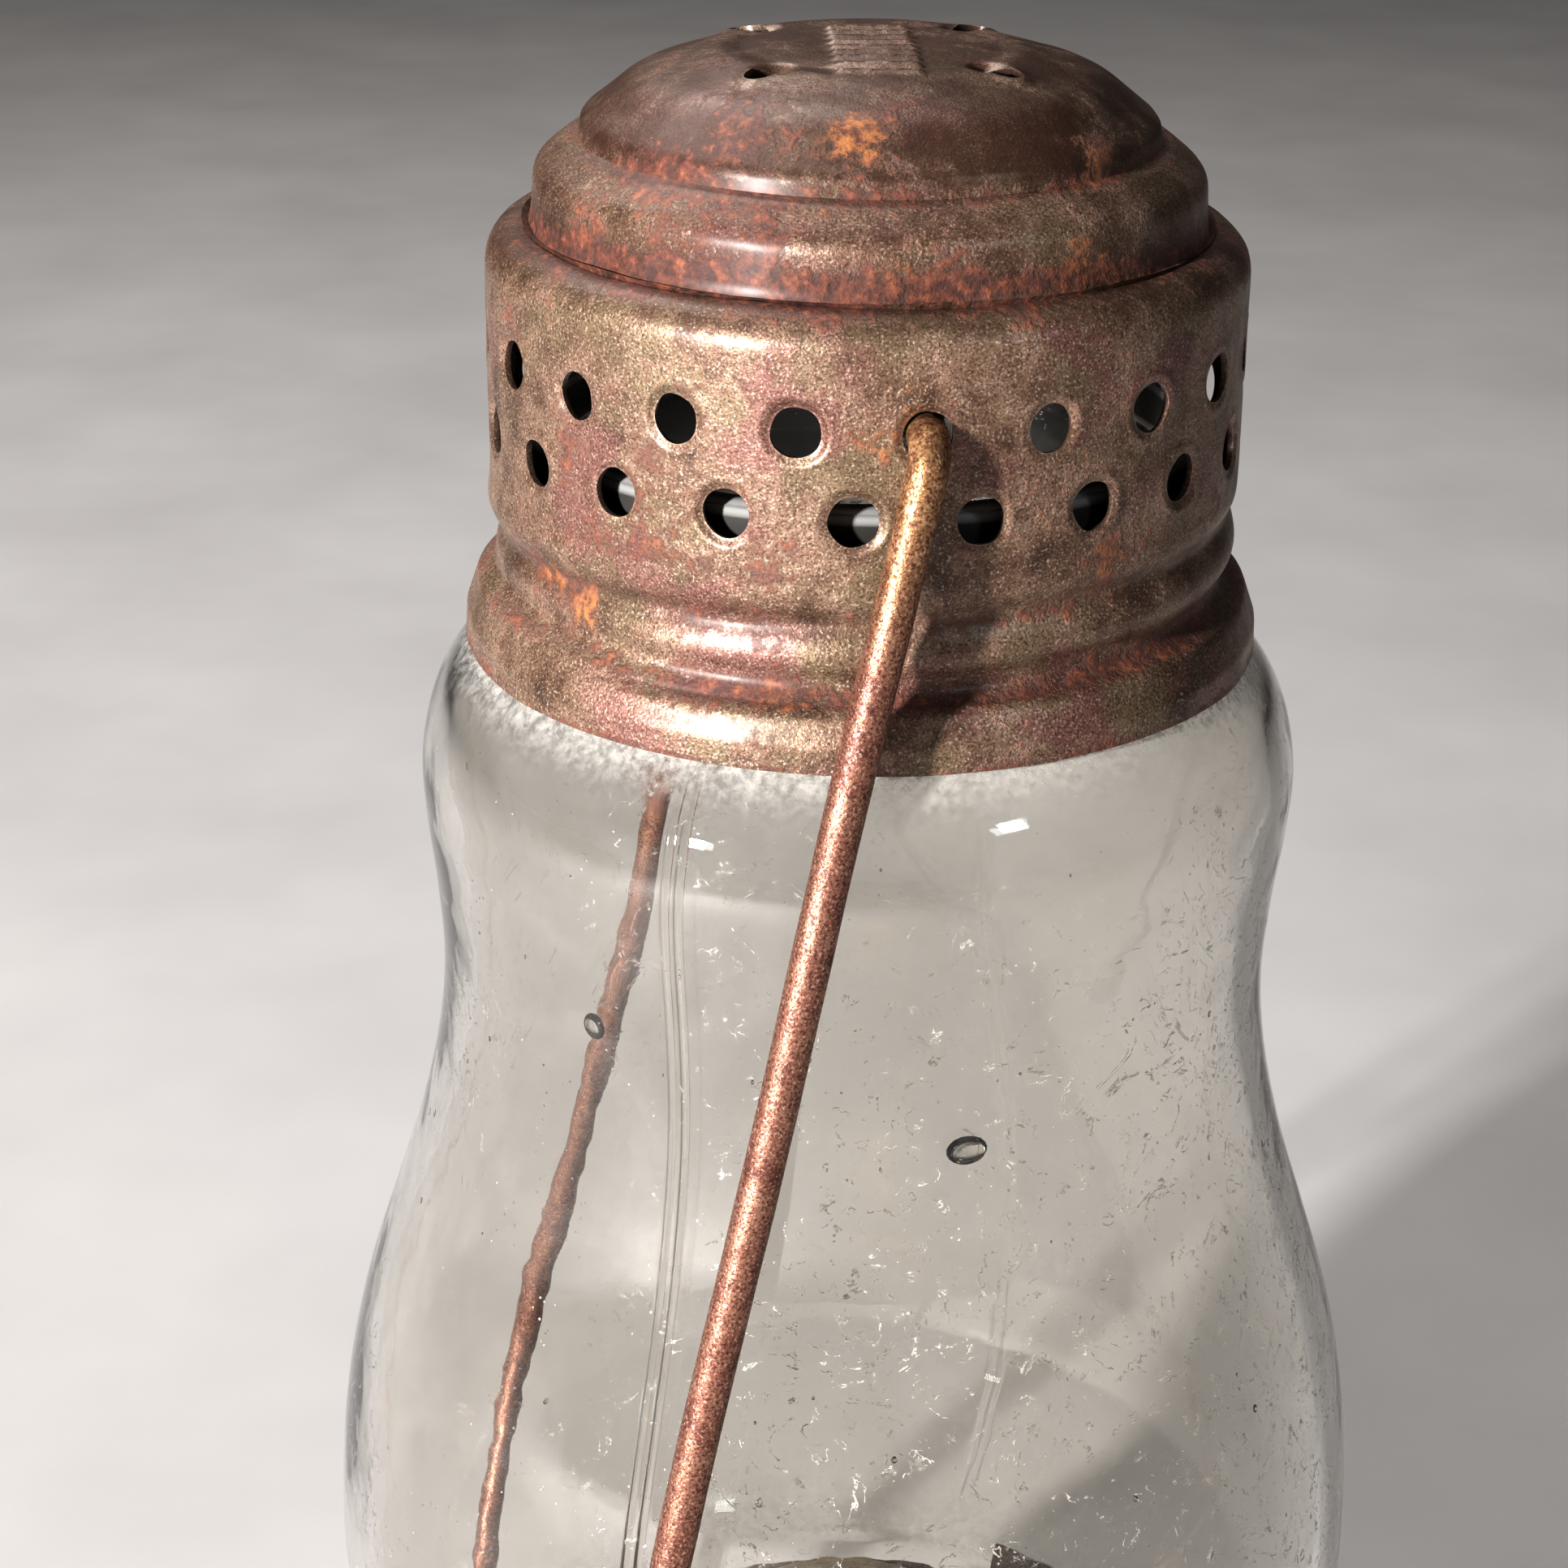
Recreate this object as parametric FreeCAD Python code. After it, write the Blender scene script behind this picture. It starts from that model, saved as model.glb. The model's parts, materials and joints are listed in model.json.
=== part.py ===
import FreeCAD, Part
import math
import os

# A small hand lantern of the skater's kind: a tin screw cap with a wire bail, a pear-shaped
# glass globe, and a flat-wick oil burner screwed into a flat round font.
#
# Millimetres. The origin is the centre of the foot on the ground, +Z runs up the axis.
# The bail turns about an axis along Y and hangs towards -X. The wick knob is on +X.

TIN = 0.5                       # pressed tinplate
FONT_TIN = 0.6                  # heavier tinplate of the font
RUNNING = 0.3                   # gap between pieces that move past each other

FONT_R = 32.2                   # outside of the font's wall
FOOT_R = 33.4                   # outside of the rolled foot seam
FOOT_HEIGHT = 3.0
FONT_WALL_TOP = 15.0
FONT_TOP = 18.9                 # crown of the font, beside the collar
COLLAR_BORE_R = 11.25           # inside of the font's threaded collar
COLLAR_R = 13.2
COLLAR_TOP = 20.3
THREAD_PITCH = 1.8              # burner thread
THREAD_DEPTH = 0.4

BUSH_R = 11.0                   # burner's male thread
FLANGE_BOTTOM = 21.1            # burner flange, down on its gasket
FLANGE_TOP = 21.8
FLANGE_R = 14.0
GALLERY_R = 29.8                # outside of the perforated gallery
GALLERY_TOP = 31.2
DECK_BOTTOM = 29.4              # perforated air deck inside the gallery
DECK_TOP = 30.0
CONE_TOP = 48.8

WICK_WIDTH = 9.6
WICK_THICK = 1.6
WICK_TOP = 45.6
TUBE_WALL = 0.4
TUBE_GAP = 0.3                  # wick to tube, all round
TUBE_TOP = 44.6
SHAFT_R = 0.9
SHAFT_Y = -4.2                  # the shaft passes in front of the wick
SHAFT_Z = 25.4
SPUR_R = 3.3
KNOB_R = 4.7
KNOB_INNER_X = 33.0
KNOB_OUTER_X = 35.3

GLASS = 2.2                     # wall of the globe
GLOBE_BOTTOM = 30.9
GLOBE_RIM_R = 28.0              # straight bottom rim of the globe
NECK_R = 24.4                   # threaded neck of the globe
GLOBE_TOP = 152.6

SKIRT_BOTTOM = 136.0            # lower edge of the cap
CAP_R = 26.6                    # perforated wall of the cap
CAP_TOP = 178.0
HOLES_PER_ROW = 20
AIR_HOLE_R = 1.65
UPPER_ROW_Z = 158.1
LOWER_ROW_Z = 152.4
LOWER_ROW_LAG = 1.125            # degrees the lower row falls short of half a step

WIRE_R = 1.4                    # bail wire
BAIL_SPLAY = 8.4                # degrees that each leg leans outwards
BAIL_REACH = 150.0              # pivot to the middle of the loop
BAIL_REST = 13.4                # degrees from hanging straight, where it leans on the font

UP = FreeCAD.Vector(0, 0, 1)
ALONG_Y = FreeCAD.Vector(0, 1, 0)
ORIGIN = FreeCAD.Vector(0, 0, 0)


def at(r, z):
    """A point in the half plane that is turned about the axis."""
    return FreeCAD.Vector(r, 0, z)


def line(start, end):
    return Part.LineSegment(start, end).toShape()


def rounded_path(corners):
    """Edges through (point, radius) corners, with a tangent arc of that radius at each one."""
    edges = []
    here = corners[0][0]
    for (before, _), (corner, radius), (after, _) in zip(corners, corners[1:], corners[2:]):
        back = (before - corner).normalize()
        on = (after - corner).normalize()
        half = back.getAngle(on) / 2
        middle = (back + on).normalize()
        start = corner + back * (radius / math.tan(half))
        end = corner + on * (radius / math.tan(half))
        crown = corner + middle * (radius / math.sin(half) - radius)
        edges.append(line(here, start))
        edges.append(Part.Arc(start, crown, end).toShape())
        here = end
    edges.append(line(here, corners[-1][0]))
    return edges


def left_of(start, end):
    """Unit vector to the left of a run in the turned half plane."""
    run = (end - start).normalize()
    return FreeCAD.Vector(-run.z, 0, run.x)


def beside(corners, distance):
    """The same path moved to its left, with the arcs' radii changed to suit."""
    points = [corner for corner, _ in corners]
    moved = [(points[0] + left_of(points[0], points[1]) * distance, 0)]
    for (before, _), (corner, radius), (after, _) in zip(corners, corners[1:], corners[2:]):
        first = left_of(before, corner)
        second = left_of(corner, after)
        mitre = (first + second).normalize()
        turns_left = first.cross(second).y < 0
        new_radius = radius - distance if turns_left else radius + distance
        step = mitre * (distance / mitre.dot(first))
        moved.append((corner + step, max(new_radius, 0.05)))
    moved.append((points[-1] + left_of(points[-2], points[-1]) * distance, 0))
    return moved


def corners_of(*rows):
    """(r, z) or (r, z, radius) rows as (point, radius) corners."""
    return [(at(row[0], row[1]), row[2] if len(row) > 2 else 0) for row in rows]


def turned(edges, degrees=360.0, start=0.0):
    """The solid that closed edges sweep about the axis, from a start azimuth."""
    solid = Part.Face(Part.Wire(edges)).revolve(ORIGIN, UP, degrees)
    solid.rotate(ORIGIN, UP, start)
    return solid


def pressed(rows, thickness, degrees=360.0, start=0.0):
    """Turned sheet metal: the rows are its outer face, and its thickness lies to their left."""
    outer = corners_of(*rows)
    inner = beside(outer, thickness)
    edges = rounded_path(outer)
    edges.append(line(outer[-1][0], inner[-1][0]))
    edges += rounded_path(inner[::-1])
    edges.append(line(inner[0][0], outer[0][0]))
    return turned(edges, degrees, start)


def ring(inner_r, outer_r, bottom, top):
    return turned(Part.makePolygon([
        at(inner_r, bottom), at(outer_r, bottom), at(outer_r, top), at(inner_r, top),
        at(inner_r, bottom)]).Edges)


def rod(radius, start, end):
    return Part.makeCylinder(radius, (end - start).Length, start, end - start)


def block(x, y, z):
    """A box from (low, high) pairs."""
    return Part.makeBox(x[1] - x[0], y[1] - y[0], z[1] - z[0],
                        FreeCAD.Vector(x[0], y[0], z[0]))


def radial_holes(radius, reach, z, azimuths):
    """Cylinders pointing out from the axis, to be cut from a wall."""
    holes = []
    for azimuth in azimuths:
        turn = math.radians(azimuth)
        out = FreeCAD.Vector(math.cos(turn), math.sin(turn), 0)
        holes.append(rod(radius, out * reach[0] + UP * z, out * reach[1] + UP * z))
    return holes


def ring_of_holes(count, radius, pitch_r, bottom, top):
    """Upright cylinders on a circle, to be cut from a deck."""
    holes = []
    for number in range(count):
        turn = math.radians(360.0 * number / count)
        foot = FreeCAD.Vector(pitch_r * math.cos(turn), pitch_r * math.sin(turn), bottom)
        holes.append(rod(radius, foot, foot + UP * (top - bottom)))
    return holes


def flat_bar(width, thick, bottom, top):
    """A flat bar with half-round edges, width along X."""
    half = thick / 2
    flat = width / 2 - half
    bar = block((-flat, flat), (-half, half), (bottom, top))
    sides = [rod(half, FreeCAD.Vector(x, 0, bottom), FreeCAD.Vector(x, 0, top))
             for x in (-flat, flat)]
    return bar.fuse(sides).removeSplitter()


def thread_grooves(r, depth, bottom, top):
    """Ring grooves of the burner thread, centred on radius r."""
    grooves = []
    count = int((top - bottom) / THREAD_PITCH)
    for number in range(count):
        z = bottom + THREAD_PITCH * (number + 0.5)
        quarter = THREAD_PITCH / 4
        grooves.append(ring(r - depth, r + depth, z - quarter, z + quarter))
    return grooves


def toothed_disc(tip_r, root_r, teeth, x0, x1):
    """A toothed wheel on the wick shaft, between two places along X."""
    points = []
    for number in range(2 * teeth + 1):
        r = root_r if number % 2 else tip_r
        turn = math.pi * number / teeth
        points.append(FreeCAD.Vector(x0, SHAFT_Y + r * math.cos(turn),
                                     SHAFT_Z + r * math.sin(turn)))
    face = Part.Face(Part.makePolygon(points))
    return face.extrude(FreeCAD.Vector(x1 - x0, 0, 0))


def on_shaft(x):
    return FreeCAD.Vector(x, SHAFT_Y, SHAFT_Z)


# Font: the oil container

def foot_seam():
    edge = 0.9
    inner = FONT_R - FONT_TIN
    return turned(rounded_path(corners_of(
        (inner, 0), (FOOT_R, 0, edge), (FOOT_R, FOOT_HEIGHT, edge), (inner, FOOT_HEIGHT)))
        + [line(at(inner, FOOT_HEIGHT), at(inner, 0))])


def font_wall():
    bead_z = 7.0
    bead_out = FONT_R + 0.45
    return pressed([
        (FONT_R, FOOT_HEIGHT), (FONT_R, bead_z - 1.4, 0.5), (bead_out, bead_z - 0.3, 0.6),
        (bead_out, bead_z + 0.3, 0.6), (FONT_R, bead_z + 1.4, 0.5), (FONT_R, FONT_WALL_TOP)],
        FONT_TIN)


def font_top():
    return pressed([
        (FONT_R, FONT_WALL_TOP), (FONT_R, 18.2, 2.6), (17.0, FONT_TOP, 1.0),
        (COLLAR_R, FONT_TOP)], FONT_TIN)


def font_bottom():
    step_r = 25.0
    rest = 1.4
    raised = 2.2
    return pressed([
        (0, raised), (step_r, raised, 0.8), (step_r + 1.2, rest, 0.8),
        (FONT_R - FONT_TIN, rest)], FONT_TIN)


def font_collar():
    flange_r = 15.6
    sleeve = ring(COLLAR_BORE_R, COLLAR_R, 15.8, COLLAR_TOP)
    flange = ring(COLLAR_R, flange_r, FONT_TOP, FONT_TOP + FONT_TIN)
    grooves = thread_grooves(COLLAR_BORE_R, THREAD_DEPTH, 16.2, COLLAR_TOP)
    return sleeve.fuse(flange).removeSplitter().cut(grooves)


def collar_gasket():
    return ring(COLLAR_BORE_R + 0.2, COLLAR_R + 0.3, COLLAR_TOP + 0.05, FLANGE_BOTTOM - 0.05)


# Burner

def wick_opening(bottom, top):
    grown = 2 * (TUBE_GAP + TUBE_WALL)
    return flat_bar(WICK_WIDTH + grown, WICK_THICK + grown, bottom, top)


VENT_AT = FreeCAD.Vector(0, 5.0, 0)
VENT_R = 1.2


def burner_bush():
    """Threaded sleeve with a flange and a plate that closes the font."""
    wall = 0.9
    bottom = 15.8
    sleeve = ring(BUSH_R - wall, BUSH_R, bottom, FLANGE_BOTTOM)
    plate = rod(FLANGE_R, UP * FLANGE_BOTTOM, UP * FLANGE_TOP)
    grooves = thread_grooves(BUSH_R, THREAD_DEPTH, bottom, FLANGE_BOTTOM)
    vent = rod(VENT_R, VENT_AT, VENT_AT + UP * CAP_TOP)
    body = sleeve.fuse(plate).removeSplitter()
    return body.cut(grooves).cut([wick_opening(0, CAP_TOP), vent])


def gallery():
    """Floor and perforated wall that carry the globe and let air in."""
    floor_hole_r = 12.0
    shell = pressed([
        (floor_hole_r, FLANGE_TOP), (FLANGE_R + 0.4, FLANGE_TOP, 0.3), (GALLERY_R, 20.3, 2.0),
        (GALLERY_R, GALLERY_TOP)], TIN)
    step = 360.0 / HOLES_PER_ROW
    azimuths = [step * number + step / 2 for number in range(HOLES_PER_ROW - 1)]
    holes = radial_holes(AIR_HOLE_R, (25, 35), SHAFT_Z, azimuths)
    holes.append(rod(AIR_HOLE_R, on_shaft(20), on_shaft(35)))
    return shell.cut(holes)


def gallery_prongs():
    """Four spring tongues on the gallery, bearing lightly on the globe's bottom rim."""
    width = 12.0
    grip_r = GLOBE_RIM_R + RUNNING + 0.1
    tongues = [pressed([
        (GALLERY_R + TIN, 27.4), (GALLERY_R + TIN, 31.4, 0.8), (grip_r + TIN, 34.0, 0.8),
        (grip_r + TIN + 0.9, 35.4)], TIN, width, azimuth - width / 2)
        for azimuth in (45, 135, 225, 315)]
    return Part.makeCompound(tongues)


def air_deck():
    """Perforated plate that spreads the air and carries the globe's cushion."""
    plate = rod(GALLERY_R - TIN, UP * DECK_BOTTOM, UP * DECK_TOP)
    holes = ring_of_holes(16, 1.1, 12.6, DECK_BOTTOM - 1, DECK_TOP + 1)
    holes += ring_of_holes(28, 1.3, 19.2, DECK_BOTTOM - 1, DECK_TOP + 1)
    holes += ring_of_holes(32, 1.3, 22.9, DECK_BOTTOM - 1, DECK_TOP + 1)
    holes.append(wick_opening(0, CAP_TOP))
    holes.append(rod(VENT_R, VENT_AT, VENT_AT + UP * CAP_TOP))
    return plate.cut(holes)


def globe_cushion():
    return ring(GLOBE_RIM_R - 2.6, GLOBE_RIM_R + 0.4, DECK_TOP, GLOBE_BOTTOM - 0.1)


def burner_cone():
    """Domed deflector with a slot over the wick."""
    shell = pressed([
        (15.6, DECK_TOP), (15.6, 34.5, 6.0), (12.0, 44.5, 6.0), (4.4, CONE_TOP, 8.0),
        (0, CONE_TOP)], TIN)
    slot = flat_bar(13.2, 4.6, CONE_TOP - 6.0, CONE_TOP + 1)
    return shell.cut(slot)


def wick_tube():
    bottom = 13.0
    gap = 2 * TUBE_GAP
    tube = wick_opening(bottom, TUBE_TOP).cut(
        flat_bar(WICK_WIDTH + gap, WICK_THICK + gap, 0, CAP_TOP))
    windows = [block((x - 0.9, x + 0.9), (-3, 0), (SHAFT_Z - 3.4, SHAFT_Z + 3.4))
               for x in (-2.6, 2.6)]
    return tube.cut(windows)


def vent_tube():
    bore_r = 0.7
    foot = VENT_AT + UP * 14.0
    head = VENT_AT + UP * 35.0
    return rod(VENT_R, foot, head).cut(rod(bore_r, foot, head))


def shaft_sleeve():
    """Bearing tube that carries the wick shaft through the gallery wall."""
    start = on_shaft(7.3)
    end = on_shaft(31.6)
    return rod(AIR_HOLE_R, start, end).cut(rod(SHAFT_R + 0.07, start, end))


def shaft_bracket():
    """Two ears on the wick tube that carry the inner end of the shaft."""
    ears = []
    for inner_x in (-7.2, 6.6):
        x = (inner_x, inner_x + 0.6)
        ear = block(x, (SHAFT_Y - 1.9, 1.2), (SHAFT_Z - 2.2, SHAFT_Z + 2.2))
        bore = rod(SHAFT_R + 0.07, on_shaft(x[0] - 1), on_shaft(x[1] + 1))
        ears.append(ear.cut(bore))
    return Part.makeCompound(ears)


def wick_shaft():
    head = rod(1.5, on_shaft(KNOB_OUTER_X), on_shaft(KNOB_OUTER_X + 0.5))
    return rod(SHAFT_R, on_shaft(-7.8), on_shaft(KNOB_OUTER_X)).fuse(head).removeSplitter()


def spur_wheels():
    """Two toothed wheels whose tips reach through the tube's windows to the wick."""
    bore = rod(SHAFT_R, on_shaft(-9), on_shaft(9))
    wheels = [toothed_disc(SPUR_R, SPUR_R - 0.8, 10, x - 0.5, x + 0.5).cut(bore)
              for x in (-2.6, 2.6)]
    return Part.makeCompound(wheels)


def wick_knob():
    """Coin-edged disc, dished on its outer face."""
    teeth = 30
    disc = toothed_disc(KNOB_R, KNOB_R - 0.3, teeth, KNOB_INNER_X, KNOB_OUTER_X)
    dish = rod(KNOB_R - 1.0, on_shaft(KNOB_OUTER_X - 0.7), on_shaft(KNOB_OUTER_X + 1))
    boss = rod(1.9, on_shaft(KNOB_OUTER_X - 0.8), on_shaft(KNOB_OUTER_X))
    bore = rod(SHAFT_R, on_shaft(KNOB_INNER_X - 1), on_shaft(KNOB_OUTER_X + 1))
    return disc.cut(dish).fuse(boss).removeSplitter().cut(bore)


def wick():
    return flat_bar(WICK_WIDTH, WICK_THICK, 6.5, WICK_TOP)


# Globe

def spline(points):
    curve = Part.BSplineCurve()
    curve.interpolate(points)
    return curve


def inside_of(curve, points, distance):
    """Points a distance to the left of a curve, beside the given points on it."""
    moved = []
    for point in points:
        run = curve.tangent(curve.parameter(point))[0]
        moved.append(point + FreeCAD.Vector(-run.z, 0, run.x) * distance)
    return moved


def globe():
    """Pear-shaped chimney: bottom rim, bulge, waist, shoulder and a neck with thread beads."""
    wall = [at(r, z) for r, z in [
        (GLOBE_RIM_R, 35.6), (30.1, 38.6), (34.4, 43.4), (38.4, 49.6), (40.4, 57.5),
        (40.5, 65.0), (39.6, 73.3), (38.0, 80.9), (35.6, 88.5), (33.2, 96.1), (31.5, 103.7),
        (30.85, 110.4), (31.2, 117.0), (31.85, 122.7), (31.95, 127.4), (30.6, 132.2),
        (27.6, 136.0), (25.2, 137.4)]]
    outer = spline(wall)
    inner_points = inside_of(outer, wall, GLASS)
    neck_in = NECK_R - GLASS
    inner_points[-1] = at(neck_in, 135.6)
    inner = spline(inner_points[::-1])
    crest = NECK_R + 0.8
    beads = []
    for z in (143.2, 148.2):
        beads += [(NECK_R, z - 1.5, 0.3), (crest, z - 0.3, 0.3), (crest, z + 0.3, 0.3),
                  (NECK_R, z + 1.5, 0.3)]
    neck = rounded_path(corners_of(
        (wall[-1].x, wall[-1].z), (NECK_R, 138.2, 0.6), *beads,
        (NECK_R, GLOBE_TOP, 0.9), (neck_in, GLOBE_TOP, 0.9), (neck_in, 135.6)))
    bottom_in = inner_points[0]
    rim = rounded_path(corners_of(
        (bottom_in.x, bottom_in.z), (bottom_in.x, GLOBE_BOTTOM, 0.9),
        (GLOBE_RIM_R, GLOBE_BOTTOM, 0.9), (GLOBE_RIM_R, 35.6)))
    return turned([outer.toShape()] + neck + [inner.toShape()] + rim)


# Cap

def cap_shell():
    """Drawn tin cap: skirt, rolled thread, perforated wall, two stepped rings and a dome."""
    shell = pressed([
        (28.6, SKIRT_BOTTOM), (28.5, 137.8, 1.4), (27.5, 140.5, 1.2), (26.0, 141.4, 0.8),
        (26.8, 143.6, 1.0), (26.2, 145.8, 1.2), (CAP_R, 147.8, 2.0), (CAP_R, 166.2, 2.7),
        (23.5, 165.8, 0.4), (23.2, 169.7, 2.2), (20.7, 171.6, 0.45), (20.1, 171.5, 0.4),
        (19.8, 173.0, 1.0), (15.9, 176.1, 6.5), (8.5, CAP_TOP, 30.0), (0, CAP_TOP)], TIN)
    step = 360.0 / HOLES_PER_ROW
    upper = [step * number - 90 for number in range(HOLES_PER_ROW)]
    lower = [azimuth + step / 2 - LOWER_ROW_LAG for azimuth in upper]
    reach = (CAP_R - 4, CAP_R + 4)
    holes = radial_holes(AIR_HOLE_R, reach, UPPER_ROW_Z, upper)
    holes += radial_holes(AIR_HOLE_R, reach, LOWER_ROW_Z, lower)
    return shell.cut(holes).cut(dome_vents())


def dome_vents():
    """Four short slots in the dome, their length pointing at the centre."""
    vents = []
    for number in range(4):
        vent = block((8.6, 13.4), (-0.65, 0.65), (CAP_TOP - 6, CAP_TOP + 1))
        vent.rotate(ORIGIN, UP, 42 - 90 + 90 * number)
        vents.append(vent)
    return vents


def draught_baffle():
    """Dished shield under the dome, carried on three strap feet inside the cap's shoulder."""
    disc = pressed([(17.2, 165.6), (16.8, 167.8, 1.2), (0, 167.8)], TIN)
    width = 16.0
    straps = [pressed([(24.4, 164.3), (17.0, 166.9)], TIN, width, azimuth - width / 2)
              for azimuth in (0, 120, 240)]
    return disc.fuse(straps).removeSplitter()


# Bail

def bail():
    """Wire handle: a short end inside each hole, a knuckle outside it, and one long loop."""
    stub_y = 23.0
    leg_y = CAP_R + WIRE_R + 0.4
    stub_up = 3.2
    splay = math.radians(BAIL_SPLAY)
    sine = math.sin(splay)
    cosine = math.cos(splay)
    # the loop's radius and each leg's length follow from the reach, with a tangent arc
    leg = (BAIL_REACH * cosine - leg_y * (1 + sine)) / (1 + sine)
    loop_r = (leg_y + leg * sine) / cosine
    loop_z = leg * cosine + loop_r * sine

    def place(y, down):
        return FreeCAD.Vector(0, y, UPPER_ROW_Z - down)

    foot = place(leg_y + leg * sine, leg * cosine)
    side = rounded_path([
        (place(stub_y, -stub_up), 0), (place(stub_y, 0), 1.9), (place(leg_y, 0), 2.4),
        (foot, 0)])
    other = [edge.mirror(ORIGIN, ALONG_Y) for edge in side]
    mirrored_foot = place(-foot.y, leg * cosine)
    loop = Part.Arc(foot, place(0, loop_z + loop_r), mirrored_foot).toShape()
    path = Part.Wire(Part.sortEdges(side + [loop] + other)[0])
    section = Part.Wire(Part.makeCircle(WIRE_R, place(stub_y, -stub_up), UP))
    wire = path.makePipeShell([section], True, True)
    wire.rotate(place(0, 0), ALONG_Y, BAIL_REST)
    return wire


PIECES = [
    foot_seam, font_wall, font_top, font_bottom, font_collar, collar_gasket, burner_bush,
    gallery, gallery_prongs, air_deck, globe_cushion, burner_cone, wick_tube, vent_tube,
    shaft_sleeve, shaft_bracket, wick_shaft, spur_wheels, wick_knob, wick, globe, cap_shell,
    draught_baffle, bail]

os.makedirs("parts", exist_ok=True)
for piece in PIECES:
    shape = piece()
    shape.exportStep("parts/" + piece.__name__ + ".step")
    print(piece.__name__, "valid" if shape.isValid() else "INVALID",
          len(shape.Solids), "solids", round(shape.Volume, 1), "mm3")
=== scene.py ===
"""Looks of a small oil hand lantern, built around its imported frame. Meshes are worked out in
millimetres about the lantern's own axis and written in metres."""

import json
import math
import random

import bpy
import numpy as np
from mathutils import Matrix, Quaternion, Vector, noise


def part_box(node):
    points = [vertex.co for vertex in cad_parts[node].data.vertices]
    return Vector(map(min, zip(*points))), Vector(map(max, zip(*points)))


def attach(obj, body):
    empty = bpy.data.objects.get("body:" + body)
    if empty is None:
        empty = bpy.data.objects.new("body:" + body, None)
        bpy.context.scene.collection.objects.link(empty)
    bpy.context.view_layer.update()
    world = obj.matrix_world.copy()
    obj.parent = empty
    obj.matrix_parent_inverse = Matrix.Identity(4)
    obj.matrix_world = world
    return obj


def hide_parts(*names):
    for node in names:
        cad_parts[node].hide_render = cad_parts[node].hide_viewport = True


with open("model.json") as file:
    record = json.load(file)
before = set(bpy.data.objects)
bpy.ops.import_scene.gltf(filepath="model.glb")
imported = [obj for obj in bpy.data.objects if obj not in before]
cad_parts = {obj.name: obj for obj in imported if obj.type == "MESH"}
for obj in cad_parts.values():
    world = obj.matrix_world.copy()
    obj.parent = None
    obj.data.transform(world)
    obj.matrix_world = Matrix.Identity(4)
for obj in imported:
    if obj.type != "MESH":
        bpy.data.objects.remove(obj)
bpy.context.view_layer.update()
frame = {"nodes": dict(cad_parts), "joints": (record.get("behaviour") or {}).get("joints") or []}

MM = 0.001
PITCH = 4.75                    # cap and neck thread, rise in one turn
WIRE_R = 1.4


def low(node, axis="z"):
    return getattr(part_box(node)[0], axis) / MM


def high(node, axis="z"):
    return getattr(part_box(node)[1], axis) / MM


def joint(name):
    return next(one for one in frame["joints"] if one["name"] == name)


SKIRT_Z = low("cap_shell")
CAP_TOP_Z = high("cap_shell")
PIVOT_Z = joint("bail_swing")["pos_m"][2] / MM


# Profiles in the half plane (radius, height)

def rounded(corners, step=0.12):
    """Points along (r, z) or (r, z, radius) corners, with a tangent arc at each one."""
    spots = [np.array(corner[:2], float) for corner in corners]
    points = [spots[0]]
    for number in range(1, len(corners) - 1):
        radius = corners[number][2] if len(corners[number]) > 2 else 0
        corner = spots[number]
        if not radius:
            points.append(corner)
            continue
        back = spots[number - 1] - corner
        on = spots[number + 1] - corner
        back /= np.linalg.norm(back)
        on /= np.linalg.norm(on)
        half = math.acos(float(np.clip(back @ on, -1, 1))) / 2
        middle = (back + on) / np.linalg.norm(back + on)
        centre = corner + middle * (radius / math.sin(half))
        start = corner + back * (radius / math.tan(half)) - centre
        end = corner + on * (radius / math.tan(half)) - centre
        swing = math.pi - 2 * half
        count = max(3, int(radius * swing / step) + 1)
        for share in np.linspace(0, 1, count):
            weight = (math.sin((1 - share) * swing), math.sin(share * swing))
            points.append(centre + (start * weight[0] + end * weight[1]) / math.sin(swing))
    points.append(spots[-1])
    return np.array(points)


def smooth_curve(knots, parts=12):
    """Catmull-Rom points through the knots."""
    knots = [np.array(knot, float) for knot in knots]
    padded = [2 * knots[0] - knots[1], *knots, 2 * knots[-1] - knots[-2]]
    points = []
    for before, start, end, after in zip(padded, padded[1:], padded[2:], padded[3:]):
        for part in range(parts):
            t = part / parts
            points.append(0.5 * (2 * start + (end - before) * t
                                 + (2 * before - 5 * start + 4 * end - after) * t ** 2
                                 + (3 * start - before - 3 * end + after) * t ** 3))
    points.append(knots[-1])
    return np.array(points)


class Path:
    """A profile that can be read at any distance along it."""

    def __init__(self, points):
        self.points = np.asarray(points, float)
        steps = np.linalg.norm(np.diff(self.points, axis=0), axis=1)
        self.along = np.concatenate([[0], np.cumsum(steps)])
        self.length = self.along[-1]

    def at(self, s):
        return np.stack([np.interp(s, self.along, self.points[:, k]) for k in (0, 1)], -1)

    def normal(self, s):
        """Unit vector to the right of the way along the profile."""
        near = 0.08
        run = (self.at(np.clip(s + near, 0, self.length))
               - self.at(np.clip(s - near, 0, self.length)))
        run /= np.maximum(np.linalg.norm(run, axis=-1, keepdims=True), 1e-9)
        return np.stack([run[..., 1], -run[..., 0]], -1)

    def where(self, height):
        """Distance along a rising profile at a height."""
        return float(np.interp(height, self.points[:, 1], self.along))

    def where_radius(self, radius):
        """Distance along a closing profile at a radius."""
        return float(np.interp(-radius, -self.points[:, 0], self.along))


# Meshes

def grid(rows, columns, first=0):
    """Quads of a grid of vertices whose columns close round the axis."""
    faces = []
    for row in range(rows - 1):
        for column in range(columns):
            right = (column + 1) % columns
            a = first + row * columns
            faces.append((a + column, a + right, a + columns + right, a + columns + column))
    return faces


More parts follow.
